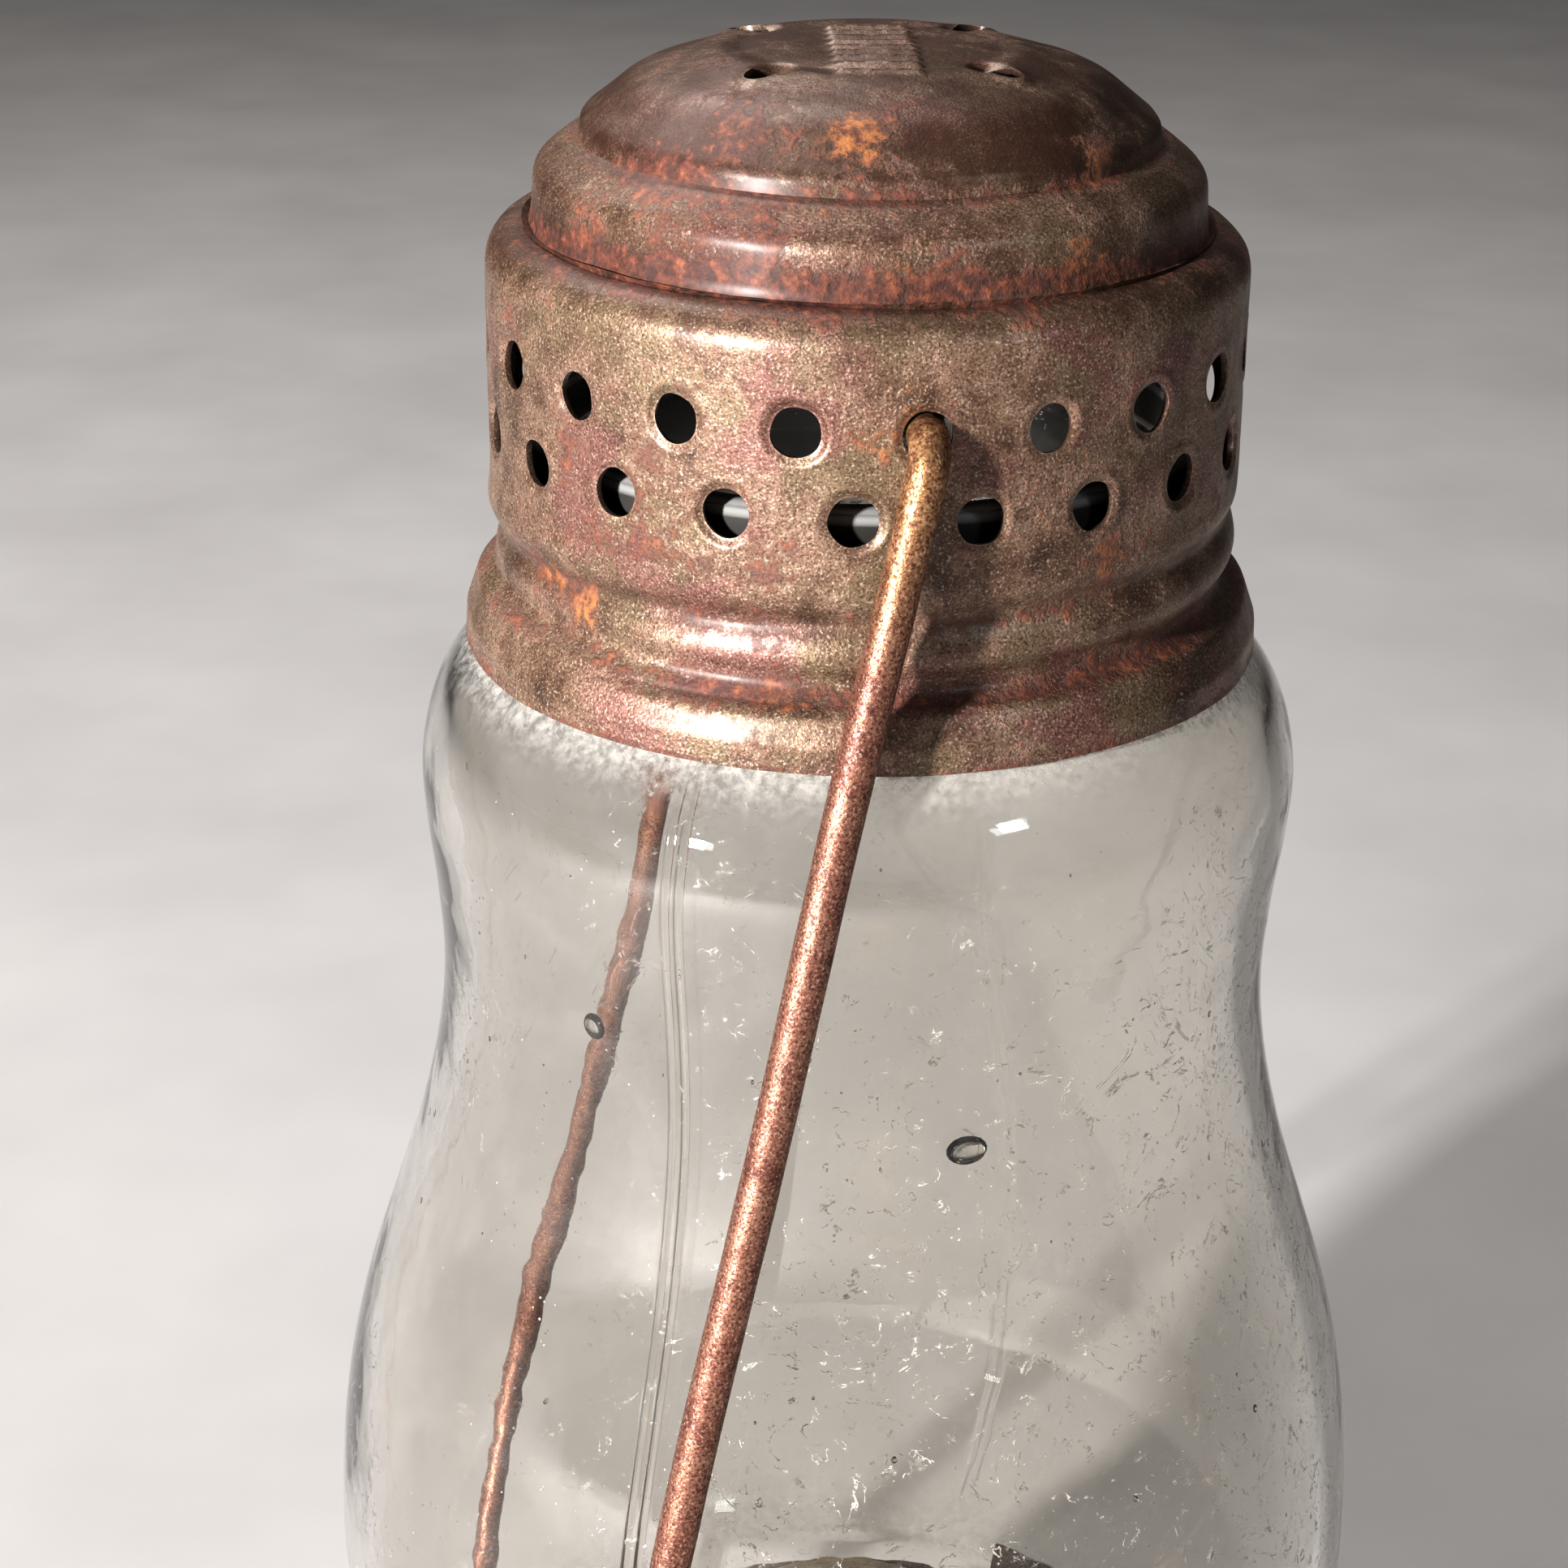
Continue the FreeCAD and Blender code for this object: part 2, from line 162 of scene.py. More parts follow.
def face_normals(points, faces):
    """Unit normal at each vertex, the mean of its faces' by area."""
    normals = np.zeros_like(points)
    for size in (3, 4):
        chosen = np.array([face for face in faces if len(face) == size], int)
        if not len(chosen):
            continue
        across = points[chosen[:, 2]] - points[chosen[:, 0]]
        other = points[chosen[:, size - 1]] - points[chosen[:, 1]]
        area = np.cross(across, other)
        if size == 3:
            area = np.cross(points[chosen[:, 1]] - points[chosen[:, 0]], across)
        for corner in range(size):
            np.add.at(normals, chosen[:, corner], area)
    return normals / np.maximum(np.linalg.norm(normals, axis=1, keepdims=True), 1e-12)


def thicken(points, faces, thickness):
    """A closed shell: the faces, the same faces moved inwards and turned over, and the rims."""
    inner = points - face_normals(points, faces) * thickness
    count = len(points)
    edges = {}
    for face in faces:
        for a, b in zip(face, face[1:] + face[:1]):
            edges[a, b] = True
    rims = [(b, a, a + count, b + count) for a, b in edges if (b, a) not in edges]
    under = [tuple(corner + count for corner in reversed(face)) for face in faces]
    return np.concatenate([points, inner]), list(faces) + under + rims


def add_piece(name, points, faces, finish, body, slot, *stands_for, sharp=40, masks=None):
    """Makes a piece from millimetres and hands it to its body."""
    mesh = bpy.data.meshes.new(name)
    mesh.from_pydata((np.asarray(points) * MM).tolist(), [], faces)
    mesh.shade_smooth()
    mesh.set_sharp_from_angle(angle=math.radians(sharp))
    for mask, values in (masks or {}).items():
        layer = mesh.attributes.new(mask, "FLOAT", "POINT")
        layer.data.foreach_set("value", np.asarray(values, np.float32))
    mesh.materials.append(finish)
    piece = bpy.data.objects.new(name, mesh)
    bpy.context.scene.collection.objects.link(piece)
    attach(piece, body)
    if stands_for:
        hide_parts(*stands_for)
    return piece


def round_axis(angle, radius, height):
    return np.stack([radius * np.cos(angle), radius * np.sin(angle), height], -1)


def wander(points, size, seed):
    """Smooth noise from -1 to 1 at points in millimetres, with features of a size."""
    shift = Vector((seed * 17.3, seed * 5.1, seed * 9.7))
    return np.array([noise.noise(Vector(point) / size + shift) for point in points])


def bell(distance, width):
    return np.exp(-(distance / width) ** 2)


def smooth_step(low_edge, high_edge, value):
    t = np.clip((value - low_edge) / (high_edge - low_edge), 0, 1)
    return t * t * (3 - 2 * t)


# Materials

class Finish:
    """A material built node by node in object coordinates."""

    def __init__(self, name):
        self.material = bpy.data.materials.new(name)
        self.material.use_nodes = True
        self.tree = self.material.node_tree
        self.shader = self.tree.nodes["Principled BSDF"]
        self.place = self.tree.nodes.new("ShaderNodeTexCoord").outputs["Object"]

    def node(self, kind, **settings):
        made = self.tree.nodes.new("ShaderNode" + kind)
        for name, value in settings.items():
            setattr(made, name, value)
        return made

    def feed(self, socket, value):
        if isinstance(value, bpy.types.NodeSocket):
            self.tree.links.new(value, socket)
        else:
            socket.default_value = value

    def noise(self, size_mm, detail=4.0, rough=0.55, twist=0.0):
        """Noise with features of about a size."""
        made = self.node("TexNoise")
        self.feed(made.inputs["Vector"], self.place)
        made.inputs["Scale"].default_value = 1 / (size_mm * MM)
        made.inputs["Detail"].default_value = detail
        made.inputs["Roughness"].default_value = rough
        made.inputs["Distortion"].default_value = twist
        return made.outputs["Fac"]

    def waves(self, direction, per_metre, twist):
        """Even ridges across one axis."""
        made = self.node("TexWave", bands_direction=direction, wave_profile="SIN")
        self.feed(made.inputs["Vector"], self.place)
        made.inputs["Scale"].default_value = per_metre
        made.inputs["Distortion"].default_value = twist
        return made.outputs["Fac"]

    def cells(self, size_mm):
        made = self.node("TexVoronoi")
        self.feed(made.inputs["Vector"], self.place)
        made.inputs["Scale"].default_value = 1 / (size_mm * MM)
        return made.outputs["Distance"]

    def mask(self, name):
        return self.node("Attribute", attribute_name=name).outputs["Fac"]

    def maths(self, operation, a, b=0.0, clamp=False):
        made = self.node("Math", operation=operation, use_clamp=clamp)
        self.feed(made.inputs[0], a)
        self.feed(made.inputs[1], b)
        return made.outputs[0]

    def scaled(self, value, from_low, from_high, to_low=0.0, to_high=1.0):
        made = self.node("MapRange", interpolation_type="SMOOTHSTEP")
        for name, given in (("Value", value), ("From Min", from_low), ("From Max", from_high),
                            ("To Min", to_low), ("To Max", to_high)):
            self.feed(made.inputs[name], given)
        return made.outputs["Result"]

    def colours(self, value, *stops):
        """A colour ramp of (position, (r, g, b)) stops."""
        made = self.node("ValToRGB")
        self.feed(made.inputs["Fac"], value)
        elements = made.color_ramp.elements
        while len(elements) < len(stops):
            elements.new(0.5)
        for element, (position, colour) in zip(elements, stops):
            element.position = position
            element.color = (*colour, 1)
        return made.outputs["Color"]

    def mix(self, share, a, b):
        made = self.node("Mix", data_type="RGBA")
        self.feed(made.inputs[0], share)
        for socket, value in ((made.inputs[6], a), (made.inputs[7], b)):
            self.feed(socket, value if isinstance(value, bpy.types.NodeSocket) else (*value, 1))
        return made.outputs[2]

    def bump(self, height, depth_mm, strength=1.0, under=None):
        made = self.node("Bump")
        made.inputs["Strength"].default_value = strength
        made.inputs["Distance"].default_value = depth_mm * MM
        self.feed(made.inputs["Height"], height)
        if under:
            self.feed(made.inputs["Normal"], under)
        return made.outputs["Normal"]

    def done(self, **inputs):
        for name, value in inputs.items():
            self.feed(self.shader.inputs[name.replace("_", " ")], value)
        return self.material


def worn_tin(name, rust_share=0.5):
    """Old tinplate: brown-grey metal with a speckled bloom, and rust where its mask says."""
    tin = Finish(name)
    broad = tin.noise(16, 3)
    patch = tin.noise(4.0, 8, 0.68)
    fleck = tin.noise(0.8, 6, 0.64)
    grain = tin.noise(0.17, 2, 0.6)
    metal = tin.colours(patch, (0.32, (0.060, 0.028, 0.016)), (0.45, (0.155, 0.088, 0.054)),
                        (0.56, (0.25, 0.160, 0.108)), (0.68, (0.35, 0.245, 0.175)))
    olive = tin.scaled(tin.noise(7, 4, 0.6), 0.50, 0.62, 0.0, 0.55)
    metal = tin.mix(olive, metal, (0.175, 0.130, 0.070))
    plum = tin.scaled(tin.noise(9, 5, 0.62), 0.50, 0.62, 0.0, 0.65)
    metal = tin.mix(plum, metal, (0.19, 0.075, 0.066))
    metal = tin.mix(tin.scaled(grain, 0.50, 0.34, 0.0, 0.75), metal, (0.035, 0.016, 0.010))
    metal = tin.mix(tin.scaled(grain, 0.56, 0.72, 0.0, 0.6), metal, (0.60, 0.50, 0.42))
    # painted shade: the dome's top, the wall's top edge and shoulder, and the thread's groove are
    # darkened in patches
    painted_shade = tin.maths("MULTIPLY", tin.mask("painted_shade"), tin.scaled(patch, 0.36, 0.62, 0.95, 0.55))
    metal = tin.mix(painted_shade, metal, (0.055, 0.022, 0.012))
    dark_rust = tin.colours(fleck, (0.30, (0.018, 0.005, 0.004)), (0.45, (0.060, 0.015, 0.009)),
                            (0.57, (0.125, 0.033, 0.016)), (0.70, (0.26, 0.085, 0.036)))
    orange = tin.mix(tin.scaled(fleck, 0.38, 0.62), (0.085, 0.022, 0.009), (0.36, 0.14, 0.042))
    rust_colour = tin.mix(tin.scaled(tin.mask("orange"), 0.25, 0.85), dark_rust, orange)
    spread = tin.maths("ADD", tin.maths("MULTIPLY", broad, 0.55),
                       tin.maths("MULTIPLY", patch, 0.85))
    amount = tin.maths("ADD", tin.maths("MULTIPLY", tin.mask("rust"), rust_share), spread)
    amount = tin.maths("ADD", amount, tin.maths("MULTIPLY", fleck, 0.5))
    rust = tin.scaled(amount, 1.03, 1.22)
    worn = tin.scaled(tin.maths("ADD", tin.mask("bright"), tin.maths("MULTIPLY", fleck, 0.6)),
                      0.72, 1.05, 0.0, 0.7)
    colour = tin.mix(tin.maths("MULTIPLY", rust, 0.85), metal, rust_colour)
    colour = tin.mix(worn, colour, (0.62, 0.50, 0.42))
    # the inner face is painted near black: soot, and painted shade inside the cap
    colour = tin.mix(tin.maths("MULTIPLY", tin.mask("inside"), 0.9), colour,
                     (0.030, 0.014, 0.009))
    bare = tin.maths("SUBTRACT", 1.0, tin.maths("MULTIPLY", rust, 0.9))
    shine = tin.scaled(patch, 0.3, 0.7, 0.50, 0.36)
    shine = tin.maths("ADD", shine, tin.maths("MULTIPLY", rust, 0.30), clamp=True)
    relief = tin.bump(grain, 0.03)
    relief = tin.bump(fleck, 0.10, 0.7, relief)
    relief = tin.bump(tin.maths("MULTIPLY", rust, fleck), 0.14, 0.9, relief)
    return tin.done(Base_Color=colour, Metallic=tin.maths("MULTIPLY", bare, 0.5),
                    Roughness=shine, Normal=relief, Coat_Weight=0.3, Coat_Roughness=0.34)


def rusty_wire(name, tan_height, tan_reach):
    """Brown speckled wire that turns tan towards its hooked ends."""
    wire = Finish(name)
    patch = wire.noise(2.2, 6, 0.65)
    fleck = wire.noise(0.5, 4, 0.6)
    grain = wire.noise(0.2, 3, 0.65)
    brown = wire.colours(patch, (0.32, (0.12, 0.042, 0.028)), (0.5, (0.27, 0.125, 0.085)),
                         (0.68, (0.43, 0.24, 0.17)))
    tan = wire.colours(fleck, (0.3, (0.13, 0.055, 0.024)), (0.5, (0.32, 0.165, 0.075)),
                       (0.7, (0.50, 0.31, 0.16)))
    height = wire.node("SeparateXYZ")
    wire.feed(height.inputs[0], wire.place)
    top = wire.maths("ADD", height.outputs["Z"], wire.maths("MULTIPLY", patch, 0.010))
    near_top = wire.scaled(top, (tan_height - tan_reach) * MM, tan_height * MM)
    colour = wire.mix(near_top, brown, tan)
    colour = wire.mix(wire.scaled(grain, 0.50, 0.38, 0.0, 0.8), colour, (0.045, 0.013, 0.009))
    colour = wire.mix(wire.scaled(grain, 0.56, 0.68, 0.0, 0.6), colour, (0.78, 0.52, 0.40))
    relief = wire.bump(grain, 0.045)
    relief = wire.bump(patch, 0.14, 0.7, relief)
    return wire.done(Base_Color=colour, Metallic=wire.scaled(patch, 0.35, 0.65, 0.5, 0.85),
                     Roughness=wire.scaled(grain, 0.35, 0.7, 0.52, 0.32), Normal=relief)


def old_brass(name):
    """Dull yellow brass, browned in its low places, with patches of green."""
    brass = Finish(name)
    patch = brass.noise(2.6, 6, 0.6)
    grain = brass.noise(0.3, 4, 0.6)
    colour = brass.colours(patch, (0.32, (0.17, 0.10, 0.045)), (0.5, (0.40, 0.27, 0.11)),
                           (0.7, (0.60, 0.44, 0.20)))
    colour = brass.mix(brass.scaled(grain, 0.36, 0.48, 0.6, 0.0), colour, (0.08, 0.045, 0.02))
    colour = brass.mix(brass.scaled(brass.noise(6, 5), 0.58, 0.70, 0.0, 0.6), colour,
                       (0.13, 0.20, 0.14))
    return brass.done(Base_Color=colour, Metallic=brass.scaled(patch, 0.3, 0.5, 0.6, 0.95),
                      Roughness=brass.scaled(grain, 0.3, 0.7, 0.6, 0.34),
                      Normal=brass.bump(grain, 0.03, 0.8, brass.bump(patch, 0.08)))


def dull_steel(name):
    """Grey steel with brown rust."""
    steel = Finish(name)
    patch = steel.noise(1.8, 6, 0.65)
    grain = steel.noise(0.25, 3, 0.6)
    colour = steel.colours(patch, (0.34, (0.16, 0.06, 0.035)), (0.5, (0.24, 0.20, 0.17)),
                           (0.7, (0.42, 0.39, 0.36)))
    return steel.done(Base_Color=colour, Metallic=steel.scaled(patch, 0.36, 0.5, 0.3, 0.95),
                      Roughness=steel.scaled(grain, 0.3, 0.7, 0.62, 0.36),
                      Normal=steel.bump(grain, 0.03))


def old_glass(name):
    """Clear pressed glass with dust under the cap, specks, scratches and a few cobwebs."""
    glass = Finish(name)
    drift = glass.noise(14, 6, 0.6, 0.8)
    speck = glass.cells(0.9)
    speck_here = glass.scaled(glass.noise(5, 4, 0.6), 0.52, 0.75)
    specks = glass.maths("MULTIPLY", glass.scaled(speck, 0.13, 0.05), speck_here)
    wisp = glass.maths("ABSOLUTE", glass.maths("SUBTRACT", glass.noise(7, 5, 0.6, 1.6), 0.5))
    wisp = glass.scaled(wisp, 0.012, 0.001)
    torn = glass.scaled(glass.noise(1.6, 5, 0.75), 0.52, 0.66)
    wisps = glass.maths("MULTIPLY", glass.maths("MULTIPLY", wisp, torn), glass.mask("webs"))
    patchy = glass.scaled(glass.noise(0.8, 6, 0.7), 0.30, 0.75)
    film = glass.maths("MULTIPLY", glass.mask("dust"), patchy)
    haze = glass.scaled(drift, 0.45, 0.8, 0.0, 0.05)
    marks = glass.maths("MAXIMUM", glass.maths("MULTIPLY", specks, 0.8),
                        glass.maths("MAXIMUM", wisps, film))
    dust = glass.maths("ADD", marks, haze, clamp=True)
    colour = glass.mix(dust, (0.88, 0.865, 0.83), (0.64, 0.55, 0.44))
    # painted shade: the neck under the cap, and its lip, are made near black and opaque
    colour = glass.mix(glass.mask("neck_shade"), colour, (0.012, 0.009, 0.006))
    dust = glass.maths("MAXIMUM", dust, glass.mask("neck_shade"))
    ripple = glass.bump(glass.noise(6, 2, 0.4), 0.10, 0.35)
    return glass.done(Base_Color=colour, Roughness=glass.scaled(dust, 0.0, 0.6, 0.0, 0.7),
                      Transmission_Weight=glass.maths("SUBTRACT", 1.0, dust), IOR=1.5,
                      Normal=glass.bump(dust, 0.04, 0.8, ripple))


def woven_cotton(name):
    """Braided lamp wick, charred at its top."""
    cotton = Finish(name)
    weave = cotton.maths("MULTIPLY", cotton.waves("X", 300, 1.5), cotton.waves("Z", 420, 1.0))
    thread = cotton.noise(0.35, 5, 0.7)
    colour = cotton.colours(cotton.maths("ADD", weave, cotton.maths("MULTIPLY", thread, 0.4)),
                            (0.1, (0.30, 0.25, 0.17)), (0.6, (0.66, 0.60, 0.47)))
    burnt = cotton.maths("ADD", cotton.mask("char"), cotton.maths("MULTIPLY", thread, 0.5))
    colour = cotton.mix(cotton.scaled(burnt, 0.5, 1.1), colour, (0.018, 0.015, 0.013))
    return cotton.done(Base_Color=colour, Roughness=0.92, Sheen_Weight=0.25,
                       Normal=cotton.bump(weave, 0.15, 0.9, cotton.bump(thread, 0.08)))


def pressed_felt(name):
    felt = Finish(name)
    fibre = felt.noise(0.3, 6, 0.7, 1.2)
    colour = felt.colours(fibre, (0.35, (0.10, 0.085, 0.07)), (0.65, (0.28, 0.25, 0.21)))
    return felt.done(Base_Color=colour, Roughness=0.95, Sheen_Weight=0.4,
                     Normal=felt.bump(fibre, 0.15))


def cork(name):
    bark = Finish(name)
    grain = bark.cells(0.9)
    fleck = bark.noise(0.6, 5, 0.7)
    colour = bark.colours(bark.maths("ADD", grain, bark.maths("MULTIPLY", fleck, 0.6)),
                          (0.25, (0.12, 0.06, 0.03)), (0.5, (0.40, 0.25, 0.13)),
                          (0.8, (0.58, 0.41, 0.24)))
    return bark.done(Base_Color=colour, Roughness=0.85, Normal=bark.bump(fleck, 0.12))


tin_of_cap = worn_tin("worn_tin_cap")
tin_of_base = worn_tin("worn_tin_base", 0.45)
brown_wire = rusty_wire("brown_wire", PIVOT_Z + 3, 15)
brass = old_brass("old_brass")
steel = dull_steel("dull_steel")
clear_glass = old_glass("old_glass")


# Cap

TIN = 0.45
CAP_R = 26.6
THREAD_START = -145.0           # azimuth where the cap's thread begins
HOLES_PER_ROW = 20
AIR_HOLE_R = 1.65
UPPER_ROW = PIVOT_Z - SKIRT_Z   # above the skirt
HOLE_DROP = 5.7                 # lower row of air holes below the upper row
LOWER_ROW_TURN = 7.875          # degrees from an upper hole to the lower one after it
CELL = 16                       # columns in one air hole's cell
VENT_CELL = 40
CAP_COLUMNS = CELL * HOLES_PER_ROW
POLE_GAP = 0.25                 # from the last row of vertices to the dome's centre
FAR = 9.0                       # stands for a long way from any cut edge
CAP_OUTLINE = [                 # radius, height above the skirt, radius of the bend
    (28.6, 0), (28.5, 1.8, 1.4), (27.5, 4.5, 1.2), (26.2, 5.5, 0.9), (CAP_R, 11.8, 20),
    (CAP_R, 30.2, 2.7), (23.5, 29.8, 0.4), (23.2, 33.7, 2.2), (20.7, 35.6, 0.45),
    (20.1, 35.5, 0.4), (19.8, 37.0, 1.0), (15.9, 40.1, 6.5), (8.5, 42, 30), (0, 42)]
VENT_REACH = (9.4, 12.6)
VENT_HALF_WIDTH = 1.1
VENT_AZIMUTHS = [90 * number - 48 for number in range(4)]
# rust along the pressed rings: height above the skirt, spread, strength
RUST_RINGS = [(0.1, 0.5, 0.40), (4.9, 0.8, 0.25), (12.6, 0.6, 0.15), (30.6, 1.2, 0.50),
              (35.8, 0.5, 0.40)]
# rust patches: azimuth, height above the skirt, spread, rust, orange
RUST_PATCHES = [
    (-91, 24.4, 2.2, 0.45, 1.0), (-97, 21.8, 1.6, 0.40, 0.9), (-143, 7.2, 1.7, 0.60, 1.0),
    (-152, 9.0, 2.5, 0.40, 0.7), (-102, 39.0, 2.6, 0.55, 1.0), (-128, 38.6, 3.4, 0.50, 0.35),
    (-140, 36.8, 3.0, 0.35, 0.0), (-62, 32.0, 3.2, 0.40, 0.6), (-125, 33.8, 5.0, 0.30, 0.15),
    (-165, 27.0, 5.0, 0.30, 0.4), (-52, 37.0, 3.0, 0.40, 0.6), (-92, 31.5, 4.0, 0.25, 0.4),
    (-150, 31.5, 6.0, 0.35, 0.3), (-62, 12.4, 3.0, 0.45, 0.5), (-110, 4.4, 3.0, 0.30, 0.5),
    (75, 20.0, 6.0, 0.30, 0.4), (30, 32.0, 6.0, 0.30, 0.2), (120, 6.0, 5.0, 0.35, 0.5),
    (90, 24.0, 3.0, 0.40, 0.8), (20, 39.0, 5.0, 0.40, 0.5), (150, 14.0, 6.0, 0.25, 0.2)]
RIB_AZIMUTH = math.radians(-95)


def cap_thread(angle, height):
    """Depth of the rolled groove, from 0 to 1, and height of the ridge between its turns."""
    turn = np.mod(np.degrees(angle) - THREAD_START, 360) / 360
    groove = np.zeros_like(angle)
    ridge = np.zeros_like(angle)
    for lap in (0, 1):
        along = turn + lap
        middle = 4.0 + PITCH * along
        live = smooth_step(0, 0.05, along) * (1 - smooth_step(1.62, 1.78, along))
        groove += bell(height - middle, 1.0) * live
        ridge += bell(height - middle - PITCH / 2, 1.0) * live * (1 - lap)
    return groove, ridge


class HoleCell:
    """One rectangle of the cap's grid, given over to rings of vertices round a hole."""

    def __init__(self, rows, columns, angle, s, half_x, half_s, kind):
        self.rows = rows
        self.columns = columns
        self.angle = angle
        self.s = s
        self.half_x = half_x
        self.half_s = half_s
        self.kind = kind

    def border(self):
        """(row, column) of the vertices once round the rectangle."""
        (row0, row1), (col0, col1) = self.rows, self.columns
        return ([(row0, column) for column in range(col0, col1)]
                + [(row, col1) for row in range(row0, row1)]
                + [(row1, column) for column in range(col1, col0, -1)]
                + [(row, col0) for row in range(row1, row0, -1)])

    def inside(self):
        """Numbers of the grid's faces that the rectangle takes the place of."""
        return {row * CAP_COLUMNS + column % CAP_COLUMNS
                for row in range(*self.rows) for column in range(*self.columns)}


class Sheet:
    """The cap's vertices: azimuth, distance up the profile, lift off it, distance to a cut edge."""

    def __init__(self, angle, s):
        self.angle = angle
        self.s = s
        self.lift = np.zeros(len(s))
        self.edge = np.full(len(s), FAR)

    def add(self, angle, s, lift, edge):
        start = len(self.s)
        self.angle = np.append(self.angle, angle)
        self.s = np.append(self.s, s)
        self.lift = np.append(self.lift, lift)
        self.edge = np.append(self.edge, edge + np.zeros(np.shape(s)))
        return np.arange(start, len(self.s))


EDGE_STEPS = (1.0, 0.8, 0.62, 0.46, 0.32, 0.2, 0.1, 0.0)


def cap_bands(path):
    """Start, end and number of rows of each band up the profile. Two bands hold the air holes
    and one the vents."""
    low_cell, mid_cell, top_cell = (path.where(UPPER_ROW + share * HOLE_DROP)
                                    for share in (-1.5, -0.5, 0.5))
    vent_from = path.where_radius(VENT_REACH[1] + 1.7)
    vent_to = path.where_radius(VENT_REACH[0] - 1.7)
    return [(0, low_cell, 54), (low_cell, mid_cell, 12), (mid_cell, top_cell, 12),
            (top_cell, vent_from, 58), (vent_from, vent_to, 22),
            (vent_to, path.length - POLE_GAP, 22)]


def cap_cells(path, first, draw):
    """Cells of both rows of air holes, a little uneven in place and size, and of the vents."""
    columns_a_degree = CAP_COLUMNS / 360
    cells = []
    for number in range(HOLES_PER_ROW):
        turn = 360 / HOLES_PER_ROW * number - 90
        holds_bail = number % (HOLES_PER_ROW // 2) == 0
        for band, azimuth_deg, s in (
                (2, turn, path.where(UPPER_ROW)),
                (1, turn + LOWER_ROW_TURN, path.where(UPPER_ROW - HOLE_DROP))):
            middle = round(azimuth_deg * columns_a_degree)
            wobble = 0 if band == 2 and holds_bail else 0.09
            radius = AIR_HOLE_R + wobble * draw.uniform(-0.6, 0.5)
            cells.append(HoleCell(
                (first[band], first[band + 1]), (middle - CELL // 2, middle + CELL // 2),
                math.radians(azimuth_deg) + wobble * draw.uniform(-1, 1) / CAP_R,
                s + wobble * draw.uniform(-1, 1), radius, radius, "hole"))
    inner, outer = (path.where_radius(radius) for radius in VENT_REACH)
    for azimuth_deg in VENT_AZIMUTHS:
        middle = round(azimuth_deg * columns_a_degree)
        cells.append(HoleCell(
            (first[4], first[5]), (middle - VENT_CELL // 2, middle + VENT_CELL // 2),
            math.radians(azimuth_deg), (inner + outer) / 2, VENT_HALF_WIDTH,
            abs(inner - outer) / 2, "vent"))
    return cells


def cut_hole(cell, path, rows, sheet, faces, draw):
    """Adds rings of vertices from the cell's border to the edge of its hole, and their faces.
    The tin is drawn in round an air hole, and pressed down on one side of a vent."""
    border = cell.border()
    ring = np.array([row * CAP_COLUMNS + column % CAP_COLUMNS for row, column in border])
    border_s = rows[[row for row, _ in border]]
    border_angle = np.array([column for _, column in border]) * 2 * math.pi / CAP_COLUMNS
    x = (border_angle - cell.angle) * path.at(border_s)[:, 0]
    y = border_s - cell.s
    phi = np.arctan2(y / np.abs(y).max(), x / np.abs(x).max())
    lean = draw.uniform(0, 2 * math.pi)
    depth = draw.uniform(0.26, 0.40)
    ragged = [draw.uniform(-1, 1) for _ in range(4)]
    rough = sum(ragged[k] * np.sin((k + 2) * phi + 5 * ragged[k]) for k in range(4))
    uneven = 0.025 * rough * (cell.kind == "hole")
    plans = [(share, EDGE_STEPS[0]) for share in (0.35, 0.7)]
    plans += [(1.0, step) for step in EDGE_STEPS]
    for share, step in plans:
        at_x = x * (1 - share) + (cell.half_x + step + uneven) * np.cos(phi) * share
        at_y = y * (1 - share) + (cell.half_s + step + uneven) * np.sin(phi) * share
        ring_s = cell.s + at_y
        ring_angle = cell.angle + at_x / path.at(ring_s)[:, 0]
        if cell.kind == "hole":
            lift = -depth * smooth_step(0.75, 0, step) * (1 + 0.35 * np.cos(phi - lean))
        else:
            along = np.clip(1 - (at_x / (cell.half_x + 1.0)) ** 2, 0, 1)
            lid = np.where(np.sin(phi) > 0, -0.75, 0.12) * np.abs(np.sin(phi)) ** 0.7
            lift = lid * along * smooth_step(1.0, 0, step)
        new = sheet.add(ring_angle, ring_s, lift * (share == 1), step if share == 1 else FAR)
        for k in range(len(new)):
            on = (k + 1) % len(new)
            faces.append((int(ring[k]), int(ring[on]), int(new[on]), int(new[k])))
        ring = new


def cap_relief(sheet, radius, height, thread):
    """How far the tin stands out from its profile: hole edges, thread, dents and the ribs."""
    groove, ridge = thread
    angle = sheet.angle
    flat = round_axis(angle, radius, height)
    shift = sheet.lift - 0.62 * groove + 0.22 * ridge
    calm = smooth_step(0.1, 1.0, sheet.edge) * smooth_step(CAP_TOP_Z - SKIRT_Z, 40, height)
    dents = 0.20 * wander(flat, 11, 1) + 0.07 * wander(flat, 3.5, 2)
    shift += (dents - 0.14) * calm
    to_front = radius * np.cos(angle - RIB_AZIMUTH)
    aside = np.abs(radius * np.sin(angle - RIB_AZIMUTH))
    ribs = sum(bell(to_front - 1.75 * number - 0.4, 0.42) for number in range(-3, 6))
    shift += (0.30 * ribs * smooth_step(3.1, 2.6, aside)
              - 0.31 * smooth_step(10.5, 8.5, radius))
    return shift


